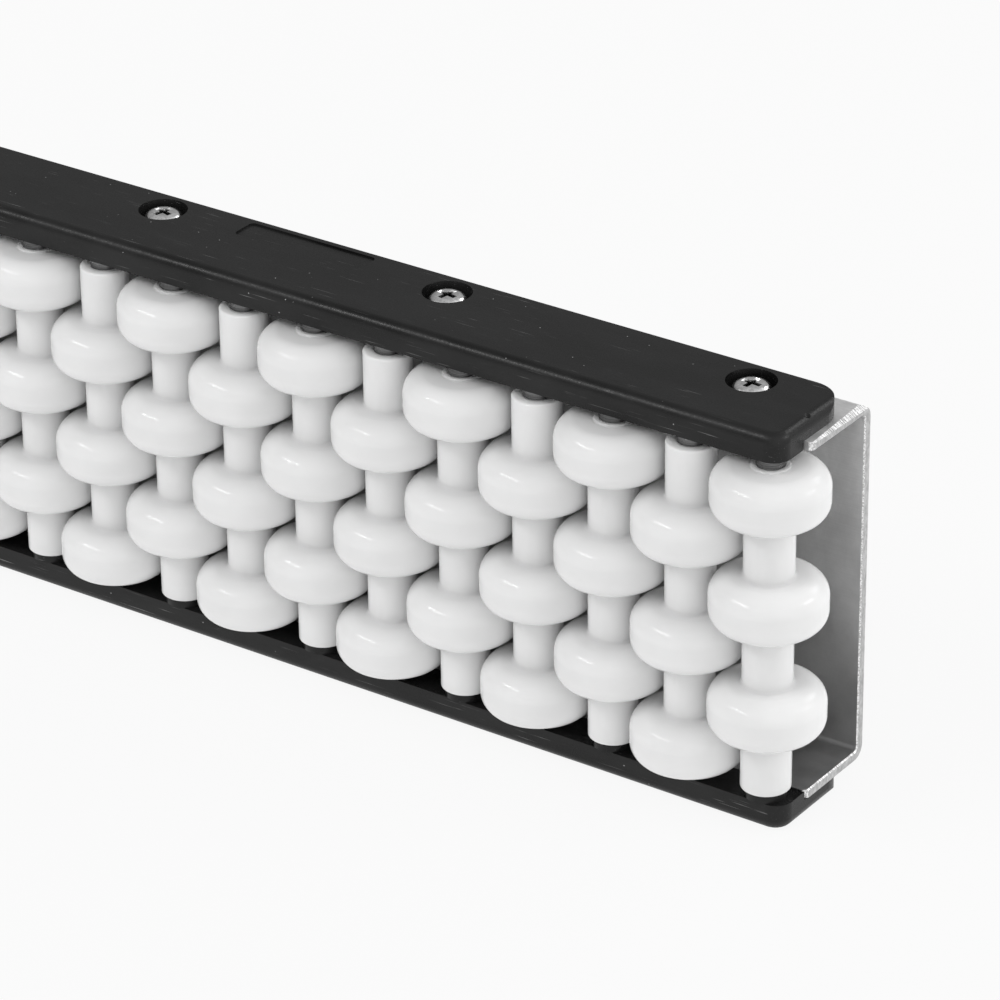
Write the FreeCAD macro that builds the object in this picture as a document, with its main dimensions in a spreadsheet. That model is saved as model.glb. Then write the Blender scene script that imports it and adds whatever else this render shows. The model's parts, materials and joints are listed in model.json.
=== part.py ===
"""Side guide roller: a row of nested bead rollers on fixed pins, held by two moulded rails on a bent steel channel.

Millimetres. +X runs along the guide, the rollers face -Y, +Z is up. The origin is the middle of the web's back face.
"""
import FreeCAD, Part
import os
import Sketcher

# Rollers in the row, counted from the +X end. The first stands with a bead at its upper end, the next with a neck.
COLUMN_COUNT = 19

# Driving dimensions
DIMS = [
    ("column_pitch", "19.0"),
    ("bead_diameter", "25.0"),
    ("bead_pitch", "25.0"),
    ("bead_thickness", "11.8"),
    ("bead_corner", "4.4"),
    ("neck_diameter", "10.8"),
    ("neck_fillet", "0.8"),
    ("neck_end_round", "0.4"),
    ("collar_diameter", "8.4"),
    ("collar_height", "0.35"),
    ("collar_round", "0.2"),
    ("collar_root", "0.3"),
    ("pin_diameter", "6.0"),
    ("pin_chamfer", "0.4"),
    ("pin_engagement", "4.8"),
    ("pin_end_clearance", "0.2"),
    ("pin_seat_clearance", "0.03"),
    ("running_clearance", "0.08"),
    ("roller_end_gap", "2.1"),
    ("washer_diameter", "9.0"),
    ("washer_clearance", "0.15"),
    ("pin_setback", "27.7"),
    ("sheet_thickness", "2.0"),
    ("bend_inner_radius", "1.0"),
    ("channel_end_reach", "6.6"),
    ("flange_corner", "1.0"),
    ("cut_edge_bevel", "0.3"),
    ("filed_width", "0.4"),
    ("flange_gap", "0.3"),
    ("rail_thickness", "6.2"),
    ("rail_depth", "26.1"),
    ("rail_front_depth", "8.9"),
    ("top_rail_end_reach", "4.5"),
    ("bottom_rail_end_reach", "6.4"),
    ("rail_front_corner", "4.0"),
    ("rail_back_corner", "7.5"),
    ("rail_edge_round", "2.3"),
    ("pin_front_wall", "0.9"),
    ("screw_diameter", "4.0"),
    ("screw_head_diameter", "8.8"),
    ("screw_head_height", "2.4"),
    ("screw_head_round", "2.1"),
    ("screw_head_recess", "0.5"),
    ("screw_hole_clearance", "0.25"),
    ("screw_thread_clearance", "0.05"),
    ("screw_tip", "4.0"),
    ("screw_tip_chamfer", "0.7"),
    ("counterbore_diameter", "10.9"),
    ("screw_edge_distance", "6.6"),
    ("screw_first_inset", "14.6"),
    ("screw_spacing", "76.0"),
    ("screw_end_margin", "8.0"),
    ("cross_length", "4.6"),
    ("cross_width", "1.2"),
    ("cross_floor_length", "1.8"),
    ("cross_floor_width", "0.7"),
    ("cross_depth", "1.8"),
    ("panel_length", "33.4"),
    ("panel_width", "6.8"),
    ("panel_depth", "0.4"),
    ("panel_edge_distance", "4.7"),
    ("panel_offset", "0.9"),
    ("panel_corner", "1.2"),
    ("gate_mark_diameter", "2.2"),
    ("gate_mark_height", "0.45"),
    ("gate_mark_setback", "1.1"),
    ("gate_mark_inset", "12.5"),
    ("mount_hole_diameter", "6.6"),
    ("mount_spacing", "228.0"),
    ("cut_margin", "1.0"),
]

# Sizes and places that follow from the driving dimensions
PLACES = [
    ("half_row", f"dims.column_pitch * {COLUMN_COUNT - 1} / 2"),
    ("upper_bead_z", "dims.bead_pitch * 5 / 4"),
    ("middle_bead_z", "dims.bead_pitch / 4"),
    ("lower_bead_z", "-dims.bead_pitch * 3 / 4"),
    ("half_bead", "dims.bead_thickness / 2"),
    ("bore_radius", "dims.pin_diameter / 2 + dims.running_clearance"),
    ("roller_half", "places.upper_bead_z + places.half_bead + dims.collar_height"),
    ("inner_half", "places.roller_half + dims.roller_end_gap"),
    ("pin_half", "places.inner_half + dims.pin_engagement"),
    ("flange_outer", "places.inner_half + dims.sheet_thickness"),
    ("rail_outer", "places.inner_half + dims.rail_thickness"),
    ("pin_y", "-dims.pin_setback"),
    ("rail_front_y", "places.pin_y - dims.pin_diameter / 2 - dims.pin_front_wall"),
    ("rail_step_y", "places.rail_front_y + dims.rail_front_depth"),
    ("rail_back_y", "places.rail_front_y + dims.rail_depth"),
    ("flange_front_y", "places.rail_step_y + dims.flange_gap"),
    ("half_top_rail", "places.half_row + dims.top_rail_end_reach"),
    ("half_bottom_rail", "places.half_row + dims.bottom_rail_end_reach"),
    ("half_channel", "places.half_row + dims.channel_end_reach"),
    ("washer_thickness", "dims.roller_end_gap - dims.washer_clearance"),
    ("counterbore_depth", "dims.screw_head_height + dims.screw_head_recess"),
    ("screw_seat_z", "places.rail_outer - places.counterbore_depth"),
    ("shank_length", "places.screw_seat_z - places.inner_half + dims.screw_tip"),
    ("screw_y", "places.rail_back_y - dims.screw_edge_distance"),
    ("screw_first_x", "places.half_row - dims.screw_first_inset"),
    ("panel_x", "places.screw_first_x - dims.screw_spacing * 3 / 2 - dims.panel_offset"),
    ("panel_y", "places.rail_back_y - dims.panel_edge_distance"),
]

doc = FreeCAD.newDocument("side_guide_roller")


def fill_sheet(name, rows, prefix):
    """Makes a spreadsheet with one aliased cell per row."""
    sheet = doc.addObject("Spreadsheet::Sheet", name)
    for row, (alias, content) in enumerate(rows, start=1):
        sheet.set(f"A{row}", alias)
        sheet.set(f"B{row}", prefix + content)
        sheet.setAlias(f"B{row}", alias)
        doc.recompute()
    return sheet


dims = fill_sheet("dims", DIMS, "")
places = fill_sheet("places", PLACES, "=")


def value(expression):
    """The number that an expression of sheet cells gives."""
    return float(dims.evalExpression(expression))


def bind(thing, **expressions):
    """Binds properties to sheet cells. x, y and z are the coordinates of the placement."""
    for key, expression in expressions.items():
        path = f"Placement.Base.{key}" if key in ("x", "y", "z") else key
        thing.setExpression(path, expression)
    return thing


def new_body(name):
    body = doc.addObject("PartDesign::Body", name)
    body.Label = name
    return body


def origin_feature(body, role):
    return next(f for f in body.Origin.OriginFeatures if f.Role == role)


def feature(body, kind, name, turn=None, **expressions):
    """Adds a feature to a body, turned first and then bound to the sheet."""
    made = body.newObject(f"PartDesign::{kind}", f"{body.Name}_{name}")
    if turn is not None:
        made.Placement = FreeCAD.Placement(FreeCAD.Vector(), turn)
    return bind(made, **expressions)


def round_edges(body, kind, name, size, wanted):
    """Rounds or chamfers the edges of the body so far that pass the test."""
    doc.recompute()
    base = body.Tip
    names = [f"Edge{i}" for i, edge in enumerate(base.Shape.Edges, start=1) if wanted(edge)]
    if not names:
        raise ValueError(f"{body.Name}: no edge found for {name}")
    made = body.newObject(f"PartDesign::{kind}", f"{body.Name}_{name}")
    made.Base = (base, names)
    return bind(made, **{"Size" if kind == "Chamfer" else "Radius": size})


def repeat_along_x(body, name, original, count, length):
    """A row of copies of a feature, from the original towards -X."""
    row = body.newObject("PartDesign::LinearPattern", f"{body.Name}_{name}")
    row.Originals = [original]
    row.Direction = (origin_feature(body, "X_Axis"), [""])
    row.Reversed = True
    row.Occurrences = count
    bind(row, Length=length)
    body.Tip = row


def revolved(body, name, corners):
    """Turns a closed outline of (radius, height) corners about the body's Z axis."""
    sketch = body.newObject("Sketcher::SketchObject", f"{body.Name}_{name}_outline")
    sketch.AttachmentSupport = [(origin_feature(body, "XZ_Plane"), "")]
    sketch.MapMode = "FlatFace"
    points = [FreeCAD.Vector(value(u), value(v), 0) for u, v in corners]
    last = len(points) - 1
    sketch.addGeometry([Part.LineSegment(points[i - 1], points[i]) for i in range(last + 1)], False)
    joints = [Sketcher.Constraint("Coincident", i, 2, i + 1 if i < last else 0, 1) for i in range(last + 1)]
    sketch.addConstraint(joints)
    for i, (u, v) in enumerate(corners):
        for kind, expression in (("DistanceX", u), ("DistanceY", v)):
            index = sketch.addConstraint(Sketcher.Constraint(kind, -1, 1, i, 2, value(expression)))
            sketch.setExpression(f"Constraints[{index}]", expression)
    turned = body.newObject("PartDesign::Revolution", f"{body.Name}_{name}")
    turned.Profile = sketch
    turned.ReferenceAxis = (sketch, ["V_Axis"])
    turned.Angle = 360.0


def near(a, b):
    return abs(a - b) < 1e-4


def circle_at(radius, heights=None):
    """Test for a round edge of this radius, at one of these heights where they are given."""
    def test(edge):
        if not isinstance(edge.Curve, Part.Circle) or not near(edge.Curve.Radius, radius):
            return False
        return heights is None or any(near(edge.Curve.Center.z, z) for z in heights)
    return test


def along(edge, direction):
    """True for a straight edge along this direction."""
    return isinstance(edge.Curve, Part.Line) and near(abs(edge.Curve.Direction.dot(direction)), 1.0)


X_AXIS = FreeCAD.Vector(1, 0, 0)
Z_AXIS = FreeCAD.Vector(0, 0, 1)
UPSIDE_DOWN = FreeCAD.Rotation(X_AXIS, 180)
TOWARDS_FRONT = FreeCAD.Rotation(X_AXIS, 90)
TOWARDS_FLOOR = FreeCAD.Rotation(X_AXIS, -90)

# Each driven screw stops at its own angle, in degrees from the last one
DRIVEN_TURN = 85

# A file has taken the sharp edge off the top flange's ends, more of it towards the bend
FILED_SLOPE = FreeCAD.Rotation(Z_AXIS, FreeCAD.Vector(0.6, 0.033, 1))

screw_span = value("places.screw_first_x + places.half_top_rail - dims.screw_end_margin")
SCREW_COUNT = int(screw_span / value("dims.screw_spacing")) + 1
SCREW_ROW = f"dims.screw_spacing * {SCREW_COUNT - 1}"


def make_channel():
    """Bent C channel with a row of screw holes through both flanges and fixing holes in the web."""
    body = new_body("channel")
    feature(body, "AdditiveBox", "blank", Length="places.half_channel * 2", Width="-places.flange_front_y",
            Height="places.flange_outer * 2", x="-places.half_channel", y="places.flange_front_y",
            z="-places.flange_outer")
    feature(body, "SubtractiveBox", "inside", Length="(places.half_channel + dims.cut_margin) * 2",
            Width="dims.cut_margin - places.flange_front_y - dims.sheet_thickness", Height="places.inner_half * 2",
            x="-places.half_channel - dims.cut_margin", y="places.flange_front_y - dims.cut_margin",
            z="-places.inner_half")
    inner_y, inner_z = -value("dims.sheet_thickness"), value("places.inner_half")
    outer_z = value("places.flange_outer")

    def bend(y, z):
        return lambda edge: (along(edge, X_AXIS) and near(edge.CenterOfMass.y, y)
                             and near(abs(edge.CenterOfMass.z), z))
    round_edges(body, "Fillet", "inner_bends", "dims.bend_inner_radius", bend(inner_y, inner_z))
    round_edges(body, "Fillet", "outer_bends", "dims.bend_inner_radius + dims.sheet_thickness", bend(0, outer_z))
    end_x, front_y = value("places.half_channel"), value("places.flange_front_y")
    round_edges(body, "Chamfer", "flange_corners", "dims.flange_corner",
                lambda edge: along(edge, Z_AXIS) and near(abs(edge.CenterOfMass.x), end_x)
                and near(edge.CenterOfMass.y, front_y))
    round_edges(body, "Chamfer", "cut_edges", "dims.cut_edge_bevel",
                lambda edge: near(abs(edge.CenterOfMass.x), end_x) and near(edge.CenterOfMass.y, inner_y)
                and along(edge, Z_AXIS))
    reach = FILED_SLOPE.multVec(FreeCAD.Vector(-value("dims.sheet_thickness * 2"), front_y / 2, 0))
    filed = feature(body, "SubtractiveBox", "filed_edge", FILED_SLOPE, Length="dims.sheet_thickness * 4",
                    Width="-places.flange_front_y * 2", Height="dims.sheet_thickness * 2",
                    x=f"places.half_channel - dims.filed_width + ({reach.x})", y=f"places.flange_front_y + ({reach.y})",
                    z=f"places.flange_outer + ({reach.z})")
    both = body.newObject("PartDesign::Mirrored", "filed_edges")
    both.Originals = [filed]
    both.MirrorPlane = (origin_feature(body, "YZ_Plane"), [""])
    body.Tip = both
    screw_hole = feature(body, "SubtractiveCylinder", "screw_hole",
                         Radius="dims.screw_diameter / 2 + dims.screw_thread_clearance",
                         Height="(places.flange_outer + dims.cut_margin) * 2",
                         x="places.screw_first_x", y="places.screw_y", z="-places.flange_outer - dims.cut_margin")
    repeat_along_x(body, "screw_holes", screw_hole, SCREW_COUNT, SCREW_ROW)
    mount_hole = feature(body, "SubtractiveCylinder", "mount_hole", TOWARDS_FRONT,
                         Radius="dims.mount_hole_diameter / 2", Height="dims.sheet_thickness + dims.cut_margin * 2",
                         x="dims.mount_spacing / 2", y="dims.cut_margin")
    repeat_along_x(body, "mount_holes", mount_hole, 2, "dims.mount_spacing")
    return body


def trim_back_corners(body, half):
    """Rounds the rail's two back corners in plan. half is the cell of half its length."""
    sketch = body.newObject("Sketcher::SketchObject", f"{body.Name}_corner_outline")
    sketch.AttachmentSupport = [(origin_feature(body, "XY_Plane"), "")]
    sketch.MapMode = "FlatFace"
    end, back, radius = value(half), value("places.rail_back_y"), value("dims.rail_back_corner")
    corner = FreeCAD.Vector(end, back, 0)
    on_end = FreeCAD.Vector(end, back - radius, 0)
    on_back = FreeCAD.Vector(end - radius, back, 0)
    centre = FreeCAD.Vector(end - radius, back - radius, 0)
    quarter = Part.ArcOfCircle(Part.Circle(centre, Z_AXIS, radius), 0, FreeCAD.Units.Quantity("90 deg").getValueAs("rad"))
    sketch.addGeometry([quarter, Part.LineSegment(on_back, corner), Part.LineSegment(corner, on_end)], False)
    sketch.addConstraint([Sketcher.Constraint("Coincident", i, 2, (i + 1) % 3, 1) for i in range(3)])
    sized = [("DistanceX", 1, 2, half), ("DistanceY", 1, 2, "places.rail_back_y"),
             ("DistanceX", 1, 1, f"{half} - dims.rail_back_corner"), ("DistanceY", 1, 1, "places.rail_back_y"),
             ("DistanceX", 2, 2, half), ("DistanceY", 2, 2, "places.rail_back_y - dims.rail_back_corner")]
    for kind, line, point, expression in sized:
        index = sketch.addConstraint(Sketcher.Constraint(kind, -1, 1, line, point, value(expression)))
        sketch.setExpression(f"Constraints[{index}]", expression)
    index = sketch.addConstraint(Sketcher.Constraint("Radius", 0, radius))
    sketch.setExpression(f"Constraints[{index}]", "dims.rail_back_corner")
    trim = body.newObject("PartDesign::Pocket", f"{body.Name}_corner_trim")
    trim.Profile = sketch
    trim.Midplane = True
    trim.Type = "Length"
    bind(trim, Length="places.rail_outer * 4")
    both = body.newObject("PartDesign::Mirrored", f"{body.Name}_corner_trims")
    both.Originals = [trim]
    both.MirrorPlane = (origin_feature(body, "YZ_Plane"), [""])
    body.Tip = both


def make_rail(name, side):
    """Moulded rail, L-shaped in section: pin holes in its thick front, counterbored screw holes in its back plate.

    side is 1 for the top rail and -1 for the bottom one. Heights are measured from the middle of the guide.
    """
    body = new_body(name)
    half = f"places.half_{name}"

    def low(inner, outer):
        """Lower height of a feature between two heights of the top rail."""
        return inner if side > 0 else f"-({outer})"
    feature(body, "AdditiveBox", "blank", Length=f"{half} * 2", Width="dims.rail_depth",
            Height="dims.rail_thickness", x=f"-{half}", y="places.rail_front_y",
            z=low("places.inner_half", "places.rail_outer"))
    front, back = value("places.rail_front_y"), value("places.rail_back_y")
    outer = side * value("places.rail_outer")
    round_edges(body, "Fillet", "front_corners", "dims.rail_front_corner",
                lambda edge: along(edge, Z_AXIS) and near(edge.CenterOfMass.y, front))
    round_edges(body, "Fillet", "outer_edge", "dims.rail_edge_round",
                lambda edge: near(edge.BoundBox.ZMin, outer) and near(edge.BoundBox.ZMax, outer)
                and not near(edge.CenterOfMass.y, back))
    trim_back_corners(body, half)
    feature(body, "SubtractiveBox", "flange_step", Length=f"({half} + dims.cut_margin) * 2",
            Width="places.rail_back_y - places.rail_step_y + dims.cut_margin",
            Height="dims.sheet_thickness + dims.cut_margin", x=f"-{half} - dims.cut_margin",
            y="places.rail_step_y", z=low("places.inner_half - dims.cut_margin", "places.flange_outer"))
    pin_hole = feature(body, "SubtractiveCylinder", "pin_hole",
                       Radius="dims.pin_diameter / 2 + dims.pin_seat_clearance",
                       Height="dims.pin_engagement + dims.pin_end_clearance + dims.cut_margin",
                       x="places.half_row", y="places.pin_y",
                       z=low("places.inner_half - dims.cut_margin", "places.pin_half + dims.pin_end_clearance"))
    repeat_along_x(body, "pin_holes", pin_hole, COLUMN_COUNT, "places.half_row * 2")
    counterbore = feature(body, "SubtractiveCylinder", "counterbore", Radius="dims.counterbore_diameter / 2",
                          Height="places.counterbore_depth + dims.cut_margin",
                          x="places.screw_first_x", y="places.screw_y",
                          z=low("places.screw_seat_z", "places.rail_outer + dims.cut_margin"))
    repeat_along_x(body, "counterbores", counterbore, SCREW_COUNT, SCREW_ROW)
    screw_hole = feature(body, "SubtractiveCylinder", "screw_hole",
                         Radius="dims.screw_diameter / 2 + dims.screw_hole_clearance",
                         Height="dims.rail_thickness + dims.cut_margin * 2",
                         x="places.screw_first_x", y="places.screw_y",
                         z=low("places.inner_half - dims.cut_margin", "places.rail_outer + dims.cut_margin"))
    repeat_along_x(body, "screw_holes", screw_hole, SCREW_COUNT, SCREW_ROW)
    if side > 0:
        feature(body, "SubtractiveBox", "bare_panel", Length="dims.panel_length", Width="dims.panel_width",
                Height="dims.panel_depth + dims.cut_margin", x="places.panel_x - dims.panel_length / 2",
                y="places.panel_y - dims.panel_width / 2", z="places.rail_outer - dims.panel_depth")
        middle_x, half_width = value("places.panel_x"), value("dims.panel_width / 2")
        middle_y, half_length = value("places.panel_y"), value("dims.panel_length / 2")
        round_edges(body, "Fillet", "panel_corners", "dims.panel_corner",
                    lambda edge: along(edge, Z_AXIS) and near(abs(edge.CenterOfMass.x - middle_x), half_length)
                    and near(abs(edge.CenterOfMass.y - middle_y), half_width))
    mark = feature(body, "SubtractiveSphere", "gate_mark", Radius="dims.gate_mark_diameter / 2",
                   x=f"{half} - dims.gate_mark_setback", y="places.rail_front_y + dims.gate_mark_inset",
                   z=f"(places.rail_outer + dims.gate_mark_height) * {side}")
    both = body.newObject("PartDesign::Mirrored", f"{body.Name}_gate_marks")
    both.Originals = [mark]
    both.MirrorPlane = (origin_feature(body, "YZ_Plane"), [""])
    body.Tip = both
    return body


def column_x(index):
    """Place along the guide of a column, counted from 0 at the +X end."""
    return f"places.half_row - dims.column_pitch * {index}"


def make_roller(index):
    """One-piece roller of three beads on a tubular neck. Every second one stands upside down."""
    body = new_body(f"roller_{index + 1:02d}")
    neck, bead, bore = "dims.neck_diameter / 2", "dims.bead_diameter / 2", "places.bore_radius"
    collar = "dims.collar_diameter / 2"
    corners = [(bore, "-places.roller_half"), (neck, "-places.roller_half")]
    for middle in ("places.lower_bead_z", "places.middle_bead_z", "places.upper_bead_z"):
        low, high = f"{middle} - places.half_bead", f"{middle} + places.half_bead"
        corners += [(neck, low), (bead, low), (bead, high), (neck, high)]
    corners[-1] = (collar, corners[-1][1])
    corners += [(collar, "places.roller_half"), (bore, "places.roller_half")]
    revolved(body, "form", corners)
    neck_end = -value("places.roller_half")
    at_neck_end = circle_at(value(neck), [neck_end])
    at_neck = circle_at(value(neck))
    round_edges(body, "Fillet", "bead_corners", "dims.bead_corner", circle_at(value(bead)))
    round_edges(body, "Fillet", "neck_roots", "dims.neck_fillet", lambda edge: at_neck(edge) and not at_neck_end(edge))
    round_edges(body, "Fillet", "neck_end", "dims.neck_end_round", at_neck_end)
    round_edges(body, "Fillet", "collar_edge", "dims.collar_round", circle_at(value(collar), [-neck_end]))
    bead_top = value("places.upper_bead_z + places.half_bead")
    round_edges(body, "Fillet", "collar_root", "dims.collar_root", circle_at(value(collar), [bead_top]))
    if index % 2:
        body.Placement = FreeCAD.Placement(FreeCAD.Vector(), UPSIDE_DOWN)
    return bind(body, x=column_x(index), y="places.pin_y")


def make_pin(index):
    """Fixed steel pin that a roller turns on, held by a blind hole in each rail."""
    body = new_body(f"pin_{index + 1:02d}")
    feature(body, "AdditiveCylinder", "rod", Radius="dims.pin_diameter / 2", Height="places.pin_half * 2",
            z="-places.pin_half")
    round_edges(body, "Chamfer", "ends", "dims.pin_chamfer", circle_at(value("dims.pin_diameter / 2")))
    return bind(body, x=column_x(index), y="places.pin_y")


def make_washers():
    """Thrust washers on the pins' lower ends, between the bottom rail and the rollers."""
    discs, holes = [], []
    for index in range(COLUMN_COUNT):
        disc = doc.addObject("Part::Cylinder", f"washer_disc_{index + 1:02d}")
        discs.append(bind(disc, Radius="dims.washer_diameter / 2", Height="places.washer_thickness",
                          x=column_x(index), y="places.pin_y", z="-places.inner_half"))
        hole = doc.addObject("Part::Cylinder", f"washer_hole_{index + 1:02d}")
        holes.append(bind(hole, Radius="places.bore_radius", Height="places.washer_thickness + dims.cut_margin * 2",
                          x=column_x(index), y="places.pin_y", z="-places.inner_half - dims.cut_margin"))
    all_discs = doc.addObject("Part::Compound", "washer_discs")
    all_discs.Links = discs
    all_holes = doc.addObject("Part::Compound", "washer_holes")
    all_holes.Links = holes
    washers = doc.addObject("Part::Cut", "thrust_washers")
    washers.Base = all_discs
    washers.Tool = all_holes
    return washers


def make_screw(name, side, index):
    """Pan-head screw with a cross recess. Its own zero height is the underside of the head."""
    body = new_body(name)
    feature(body, "AdditiveCylinder", "head", Radius="dims.screw_head_diameter / 2", Height="dims.screw_head_height")
    round_edges(body, "Fillet", "head_edge", "dims.screw_head_round",
                circle_at(value("dims.screw_head_diameter / 2"), [value("dims.screw_head_height")]))
    feature(body, "AdditiveCylinder", "shank", Radius="dims.screw_diameter / 2",
            Height="places.shank_length + dims.screw_head_height / 2", z="-places.shank_length")
    round_edges(body, "Chamfer", "tip", "dims.screw_tip_chamfer",
                circle_at(value("dims.screw_diameter / 2"), [-value("places.shank_length")]))
    length, width = "dims.cross_length / 2", "dims.cross_width / 2"
    floor_length, floor_width = "dims.cross_floor_length / 2", "dims.cross_floor_width / 2"
    for slot, turn in (("slot", 0), ("cross_slot", 90)):
        across = FreeCAD.Rotation(Z_AXIS, turn) * TOWARDS_FLOOR
        feature(body, "SubtractiveWedge", slot, across, Xmin=f"-{length}", Xmax=length, Zmin=f"-{width}", Zmax=width,
                X2min=f"-{floor_length}", X2max=floor_length, Z2min=f"-{floor_width}", Z2max=floor_width,
                Ymin="0", Ymax="dims.cross_depth", z="dims.screw_head_height")
    driven = FreeCAD.Rotation(Z_AXIS, DRIVEN_TURN * (index + 1))
    upright = driven if side > 0 else UPSIDE_DOWN * driven
    body.Placement = FreeCAD.Placement(FreeCAD.Vector(), upright)
    return bind(body, x=f"places.screw_first_x - dims.screw_spacing * {index}", y="places.screw_y",
                z=f"places.screw_seat_z * {side}")


def make_screw_row(name, side):
    """The screws of one rail, as a group of separate solids."""
    row = doc.addObject("Part::Compound", name)
    row.Links = [make_screw(f"{name}_{index + 1}", side, index) for index in range(SCREW_COUNT)]
    return row


subparts = [make_channel(), make_rail("top_rail", 1), make_rail("bottom_rail", -1)]
for column in range(COLUMN_COUNT):
    subparts += [make_pin(column), make_roller(column)]
subparts += [make_washers(), make_screw_row("top_rail_screws", 1), make_screw_row("bottom_rail_screws", -1)]
doc.recompute()

failed = [thing.Label for thing in doc.Objects if "Invalid" in thing.State or "Error" in thing.State]
failed += [part.Label for part in subparts if part.Shape.isNull() or not part.Shape.isValid()]
if failed:
    raise RuntimeError(f"failed objects: {failed}")

os.makedirs("parts", exist_ok=True)
for part in subparts:
    part.Shape.exportStep(os.path.join("parts", f"{part.Label}.step"))
    print(part.Label, len(part.Shape.Solids), round(part.Shape.Volume, 2))
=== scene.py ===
"""Side guide roller, dressed for its photograph: white rollers between black rails on a stainless channel."""
import json
import math

import bpy
from mathutils import Matrix, Vector


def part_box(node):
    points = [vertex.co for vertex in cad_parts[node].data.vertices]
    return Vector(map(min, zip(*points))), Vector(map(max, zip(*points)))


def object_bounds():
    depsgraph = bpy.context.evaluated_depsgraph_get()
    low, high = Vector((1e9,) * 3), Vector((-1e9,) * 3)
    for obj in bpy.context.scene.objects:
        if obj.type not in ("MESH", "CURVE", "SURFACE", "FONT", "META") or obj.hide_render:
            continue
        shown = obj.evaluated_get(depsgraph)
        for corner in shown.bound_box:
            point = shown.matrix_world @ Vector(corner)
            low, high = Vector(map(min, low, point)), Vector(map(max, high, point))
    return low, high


MM = 0.001
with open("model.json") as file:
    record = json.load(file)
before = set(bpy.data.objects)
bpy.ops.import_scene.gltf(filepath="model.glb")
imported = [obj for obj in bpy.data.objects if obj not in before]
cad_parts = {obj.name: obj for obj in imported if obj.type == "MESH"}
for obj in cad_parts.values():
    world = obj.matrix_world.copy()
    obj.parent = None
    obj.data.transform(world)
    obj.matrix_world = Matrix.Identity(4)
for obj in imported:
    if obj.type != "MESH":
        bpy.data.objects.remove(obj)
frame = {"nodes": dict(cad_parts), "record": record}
nodes = frame["nodes"]
cad_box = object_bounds()
scene = bpy.context.scene

# Photograph: a square picture of this width, taken from above on the +X side
PICTURE_WIDTH = 1000
CAMERA_PLACE = Vector((673.6, -841.4, 528.4)) * MM
CAMERA_YAW = math.radians(-34.975)
CAMERA_PITCH = math.radians(27.571)
CAMERA_ROLL = math.radians(-0.580)
FOCAL_PIXELS = 5334.8
SENSOR_WIDTH = 36.0


def make_camera():
    """The photograph's camera."""
    data = bpy.data.cameras.new("camera")
    data.sensor_width = SENSOR_WIDTH
    data.lens = SENSOR_WIDTH * FOCAL_PIXELS / PICTURE_WIDTH
    camera = bpy.data.objects.new("camera", data)
    turn = (Matrix.Rotation(-CAMERA_YAW, 4, "Z") @ Matrix.Rotation(math.pi / 2 - CAMERA_PITCH, 4, "X")
            @ Matrix.Rotation(CAMERA_ROLL, 4, "Z"))
    camera.matrix_world = Matrix.Translation(CAMERA_PLACE) @ turn
    scene.collection.objects.link(camera)
    scene.camera = camera


class Nodes:
    """Short ways to add nodes to a node tree."""

    def __init__(self, tree):
        self.tree = tree

    def add(self, kind, **sockets):
        """Adds a node. Sockets are named with _ for a space."""
        node = self.tree.nodes.new(kind)
        for name, value in sockets.items():
            self.put(node.inputs[name.replace("_", " ")], value)
        return node

    def put(self, socket, value):
        """Links a socket to an output, or sets its constant. A colour can be given as one grey."""
        if isinstance(value, bpy.types.NodeSocket):
            self.tree.links.new(value, socket)
        elif isinstance(value, (int, float)) and socket.type == "RGBA":
            socket.default_value = (value, value, value, 1.0)
        else:
            socket.default_value = value

    def math(self, operation, *values):
        node = self.add("ShaderNodeMath")
        node.operation = operation
        for socket, value in zip(node.inputs, values):
            self.put(socket, value)
        return node.outputs["Value"]

    def product(self, first, *others):
        for other in others:
            first = self.math("MULTIPLY", first, other)
        return first

    def axis(self, vector, name):
        return self.add("ShaderNodeSeparateXYZ", Vector=vector).outputs[name]


# Most values of a noise lie between these
NOISE_LOW, NOISE_HIGH = 0.3, 0.7


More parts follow.
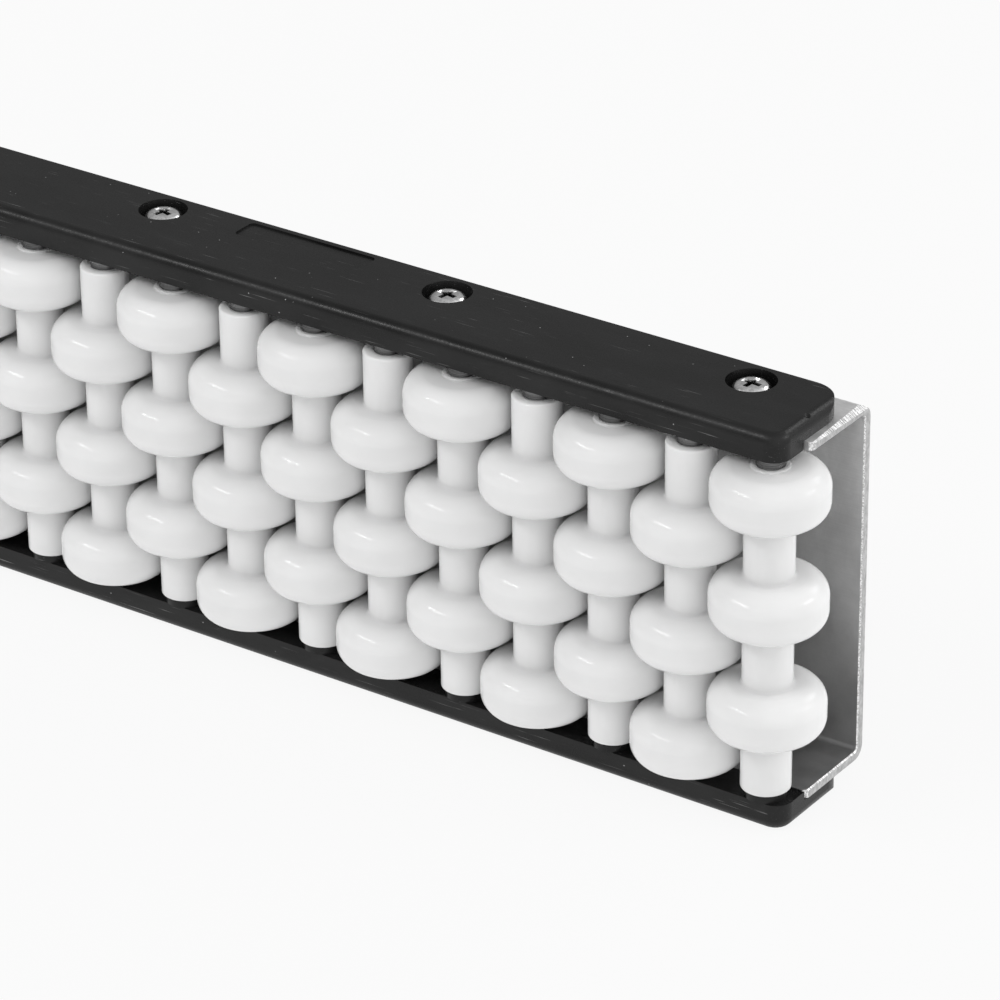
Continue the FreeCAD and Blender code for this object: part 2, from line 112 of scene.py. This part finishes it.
class Shader(Nodes):
    """A principled material with procedural textures. Lengths in its textures are millimetres."""

    def __init__(self, name, **sockets):
        self.material = bpy.data.materials.new(name)
        self.material.use_nodes = True
        super().__init__(self.material.node_tree)
        self.tree.nodes.clear()
        self.surface = self.add("ShaderNodeBsdfPrincipled", **sockets)
        self.add("ShaderNodeOutputMaterial", Surface=self.surface.outputs["BSDF"])
        coordinates = self.add("ShaderNodeTexCoord")
        self.normal = coordinates.outputs["Normal"]
        self.place = self.divided(coordinates.outputs["Object"], MM)

    def divided(self, vector, size):
        """Divides a vector by a length, given once or along each axis."""
        node = self.add("ShaderNodeVectorMath")
        node.operation = "DIVIDE"
        self.put(node.inputs[0], vector)
        self.put(node.inputs[1], (size,) * 3 if isinstance(size, float) else size)
        return node.outputs["Vector"]

    def noise(self, size, detail=2.0, roughness=0.5):
        """Smooth noise from 0 to 1 with features of this size, given once or along each axis."""
        return self.add("ShaderNodeTexNoise", Vector=self.divided(self.place, size), Scale=1.0, Detail=detail,
                        Roughness=roughness).outputs["Fac"]

    def ramp(self, value, low, high, from_value=0.0, to_value=1.0):
        """Maps low..high of a value to from_value..to_value, smoothly and clamped."""
        node = self.add("ShaderNodeMapRange", Value=value, From_Min=low, From_Max=high, To_Min=from_value,
                        To_Max=to_value)
        node.interpolation_type = "SMOOTHSTEP"
        return node.outputs["Result"]

    def spread(self, noise, from_value, to_value):
        """Maps the usual values of a noise to from_value..to_value."""
        return self.ramp(noise, NOISE_LOW, NOISE_HIGH, from_value, to_value)

    def spread_sum(self, first, second, from_value, to_value):
        """Maps the usual sums of two noises to from_value..to_value."""
        middle, reach = NOISE_LOW + NOISE_HIGH, 0.3
        total = self.math("ADD", first, second)
        return self.ramp(total, middle - reach, middle + reach, from_value, to_value)

    def specks(self, spacing, size, share):
        """Scattered round dots: 1 on a dot, for this share of the cells."""
        cells = self.add("ShaderNodeTexVoronoi", Vector=self.divided(self.place, spacing), Scale=1.0)
        radius = size / 2 / spacing
        dot = self.ramp(cells.outputs["Distance"], radius, radius / 2)
        return self.product(dot, self.math("LESS_THAN", self.axis(cells.outputs["Color"], "X"), share))

    def mix(self, factor, first, second):
        """Mixes two numbers."""
        return self.add("ShaderNodeMix", Factor=factor, A=first, B=second).outputs["Result"]

    def finish(self, base, roughness, height=None, depth=0.0):
        """Links the varying inputs of the surface. base is a grey, depth the bump's height in millimetres."""
        grey = self.add("ShaderNodeCombineColor", Red=base, Green=base, Blue=base).outputs["Color"]
        self.put(self.surface.inputs["Base Color"], grey)
        self.put(self.surface.inputs["Roughness"], roughness)
        if height is not None:
            bump = self.add("ShaderNodeBump", Strength=1.0, Distance=depth * MM, Height=height)
            self.put(self.surface.inputs["Normal"], bump.outputs["Normal"])
        return self.material


def white_acetal():
    """Glossy moulded white plastic, translucent, with faint flow clouds and a few specks."""
    shader = Shader("white_acetal", IOR=1.48, Specular_IOR_Level=0.2, Subsurface_Weight=1.0,
                    Subsurface_Radius=(1.0, 1.0, 1.0), Subsurface_Scale=4.0 * MM,
                    Sheen_Weight=0.5, Sheen_Roughness=0.15, Sheen_Tint=1.0)
    clean = shader.spread(shader.noise(9.0, detail=3.0), 0.72, 0.74)
    dust, dust_grey = shader.specks(spacing=9.0, size=0.2, share=0.12), 0.55
    roughness = shader.spread(shader.noise(8.0), 0.08, 0.12)
    return shader.finish(shader.mix(dust, clean, dust_grey), roughness)


def black_satin():
    """Satin black moulded plastic with a fine grain, groups of dust specks and scratches along the rail."""
    shader = Shader("black_satin", IOR=1.5, Specular_IOR_Level=0.25)
    grain = shader.noise(0.35, detail=3.0, roughness=0.6)
    cloud = shader.noise((24.0, 8.0, 8.0), detail=5.0, roughness=0.6)
    dusty = shader.ramp(shader.noise((22.0, 14.0, 14.0)), 0.46, 0.58)
    rubbed = shader.ramp(shader.noise((45.0, 7.0, 7.0)), 0.44, 0.56)
    lines = shader.ramp(shader.noise((11.0, 0.22, 0.22), detail=3.0), 0.66, 0.78)
    dust_strength, scratch_strength, mark_grey = 0.9, 0.5, 0.4
    dust = shader.product(shader.specks(spacing=2.0, size=0.34, share=0.30), dusty, dust_strength)
    scratches = shader.product(lines, rubbed, scratch_strength)
    marks = shader.math("MAXIMUM", dust, scratches)
    base = shader.mix(marks, shader.spread(cloud, 0.004, 0.012), mark_grey)
    return shader.finish(base, shader.spread_sum(grain, cloud, 0.26, 0.46), grain, depth=0.02)


# Heights in millimetres of painted shade and light: the sheet is painted darkest at the first and brightest
# from the second up
PAINTED_SHADE_LOW_Z, PAINTED_SHADE_HIGH_Z = -42.0, 34.0


def stainless_sheet():
    """Rolled stainless sheet with a fine grain along the channel, painted shade darkening it towards its
    floor and painted light brightening it towards its top, with grey cut ends, a bright burr on the web's
    inner edges and filed upper edges on the flanges."""
    shader = Shader("stainless_sheet", Metallic=1.0)
    rolled = shader.noise((40.0, 0.25, 0.25), detail=3.0, roughness=0.6)
    stains = shader.noise((11.0, 10.0, 16.0), detail=5.0, roughness=0.7)
    sheared = shader.noise((4.0, 0.9, 1.6), detail=3.0, roughness=0.6)
    burr = shader.noise(0.35, detail=3.0, roughness=0.7)
    strokes = shader.noise((4.0, 0.35, 4.0), detail=3.0, roughness=0.6)

    # The way a face points tells the cut ends, the inner edges and the filed edges from the sheet
    cut = shader.ramp(shader.math("ABSOLUTE", shader.axis(shader.normal, "X")), 0.25, 0.45)
    inner = shader.ramp(shader.axis(shader.normal, "Y"), -0.35, -0.5)
    filed = shader.product(cut, shader.ramp(shader.axis(shader.normal, "Z"), 0.35, 0.5))

    def by_region(sheet, sheared_end, inner_edge, filed_edge):
        """Takes one value in each region of the surface."""
        end = shader.mix(inner, sheared_end, inner_edge)
        return shader.mix(cut, sheet, shader.mix(filed, end, filed_edge))

    # Painted shade and light: the sheet's colour is darker towards the bottom and brighter towards the top,
    # standing in for how light falls on it
    painted_shade_by_height = shader.ramp(shader.axis(shader.place, "Z"), PAINTED_SHADE_LOW_Z, PAINTED_SHADE_HIGH_Z, 0.58, 1.12)
    stained = shader.ramp(stains, 0.25, 0.75, 0.68, 0.84)
    base = by_region(shader.product(stained, shader.spread(rolled, 0.94, 1.0), painted_shade_by_height),
                     shader.spread(sheared, 0.42, 0.60),
                     shader.ramp(burr, 0.35, 0.65, 0.40, 0.96),
                     shader.ramp(strokes, 0.35, 0.62, 0.34, 0.86))
    roughness = by_region(shader.spread_sum(rolled, stains, 0.42, 0.56), 0.55, 0.55, 0.5)
    height = by_region(shader.product(rolled, 0.15), shader.product(sheared, 0.6), burr, strokes)
    return shader.finish(base, roughness, height, depth=0.08)


def ground_steel():
    """Ground pin steel with fine rings."""
    shader = Shader("ground_steel", Metallic=1.0)
    rings = shader.noise((8.0, 8.0, 0.12))
    base, roughness = shader.spread(rings, 0.12, 0.20), shader.spread(rings, 0.24, 0.36)
    return shader.finish(base, roughness, rings, depth=0.005)


# Screws in each rail, and the reach of the cross recess in their heads in millimetres, where shade is painted
# dark
SCREW_COUNT = 5
CROSS_RADIUS = 2.3
CROSS_DEPTH = 1.9
CROSS_BLUR = 0.2


def bright_steel():
    """Plated screw steel, with shade painted dark into the cross recess of each head. Both rails' screws
    share their axes.
    """
    low, high = (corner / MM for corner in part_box("top_rail_screws"))
    head_diameter = high.y - low.y
    axis_x, axis_y = high.x - head_diameter / 2, (low.y + high.y) / 2
    spacing = (high.x - low.x - head_diameter) / (SCREW_COUNT - 1)

    shader = Shader("bright_steel", Metallic=1.0)
    x, y, z = (shader.axis(shader.place, name) for name in "XYZ")
    along = shader.math("WRAP", shader.math("SUBTRACT", x, axis_x), spacing / 2, -spacing / 2)
    across = shader.math("SUBTRACT", y, axis_y)
    squares = shader.math("ADD", shader.product(along, along), shader.product(across, across))
    in_cross = shader.ramp(shader.math("SQRT", squares), CROSS_RADIUS + CROSS_BLUR, CROSS_RADIUS)
    depth = shader.math("SUBTRACT", high.z, shader.math("ABSOLUTE", z))
    under_top = shader.ramp(depth, 0.15, 0.6)
    over_floor = shader.ramp(depth, CROSS_DEPTH + CROSS_BLUR, CROSS_DEPTH)
    # Painted shade: the cross recess of each head is coloured dark where shade falls in it
    painted_recess_shade = shader.product(in_cross, under_top, over_floor)

    wear, recess_shade_grey = shader.noise(0.6, detail=3.0), 0.07
    base = shader.mix(painted_recess_shade, shader.spread(wear, 0.62, 0.82), recess_shade_grey)
    return shader.finish(base, shader.spread(wear, 0.14, 0.26), wear, depth=0.015)


def dress():
    """Gives every CAD node its material."""
    slots = {subpart["node"]: subpart["material_slot"] for subpart in frame["record"]["subparts"]}
    finishes = {
        "stainless_sheet": stainless_sheet(),
        "black_rail": black_satin(),
        "white_roller": white_acetal(),
        "pin_steel": ground_steel(),
        "screw_steel": bright_steel(),
        "washer_plastic": black_satin(),
    }
    for name, node in nodes.items():
        node.data.materials.clear()
        node.data.materials.append(finishes[slots[name]])


# Floor: half its side in metres, its distance below the guide, its grey and its glow
FLOOR_HALF = 3.0
FLOOR_GAP = 0.1 * MM
FLOOR_GREY = 0.06
FLOOR_GLOW = 0.9


def make_floor():
    """Pale floor just under the guide. It glows, as a lit white table does, so that shadows on it stay faint.
    From below it is clear."""
    z = cad_box[0].z - FLOOR_GAP
    corners = [(x * FLOOR_HALF, y * FLOOR_HALF, z) for x, y in ((-1, -1), (1, -1), (1, 1), (-1, 1))]
    mesh = bpy.data.meshes.new("floor")
    mesh.from_pydata(corners, [], [(0, 1, 2, 3)])
    floor = bpy.data.objects.new("floor", mesh)
    scene.collection.objects.link(floor)
    shader = Shader("floor", Base_Color=FLOOR_GREY, Roughness=0.9, Specular_IOR_Level=0.0, Emission_Color=1.0,
                    Emission_Strength=FLOOR_GLOW)
    underside = shader.add("ShaderNodeNewGeometry").outputs["Backfacing"]
    shader.put(shader.surface.inputs["Alpha"], shader.math("SUBTRACT", 1.0, underside))
    mesh.materials.append(shader.material)


# Studio lights: direction from the guide's near end, lengths in metres, power in watts
LIGHTS = {
    "left": dict(direction=(-0.42, -0.60, 0.66), distance=3.0, width=2.0, height=0.42, power=28.5),
    "right": dict(direction=(0.76, 0.40, 0.50), distance=1.2, width=0.40, height=0.20, power=2.3),
    "back": dict(direction=(0.25, 0.76, 0.58), distance=1.5, width=0.60, height=0.40, power=2.1),
}
LIGHT_TARGET = Vector((0.12, -0.02, 0.0))
LIGHT_BOUNCES = 2
# Studio brightness at the front, back, right and top: axis and strength, negative for its negative side
SKY = (("Y", -0.56), ("Y", 0.24), ("X", 1.05), ("Z", 0.48))


def add_light(name, direction, distance, width, height, power):
    """A soft light that faces the guide, with its width level."""
    data = bpy.data.lights.new(name, "AREA")
    data.shape = "RECTANGLE"
    data.size = width
    data.size_y = height
    data.energy = power
    data.cycles.max_bounces = LIGHT_BOUNCES
    light = bpy.data.objects.new(name, data)
    direction = Vector(direction).normalized()
    light.location = LIGHT_TARGET + direction * distance
    light.rotation_euler = (-direction).to_track_quat("-Z", "Y").to_euler()
    light.visible_camera = False
    scene.collection.objects.link(light)


def make_sky():
    """Pale studio all round, brightest straight towards each side."""
    world = bpy.data.worlds.new("studio")
    world.use_nodes = True
    sky = Nodes(world.node_tree)
    direction = sky.add("ShaderNodeTexCoord").outputs["Generated"]
    total = 0.0
    for axis, strength in SKY:
        lobe = sky.math("MAXIMUM", sky.product(sky.axis(direction, axis), strength), 0.0)
        total = sky.math("ADD", total, lobe)
    background = sky.tree.nodes["Background"]
    sky.put(background.inputs["Color"], 1.0)
    sky.put(background.inputs["Strength"], total)
    scene.world = world


def make_light():
    """The sky, the studio lights and a plain view transform."""
    make_sky()
    for name, values in LIGHTS.items():
        add_light(name, **values)
    scene.view_settings.view_transform = "Standard"


make_camera()
make_floor()
make_light()
dress()
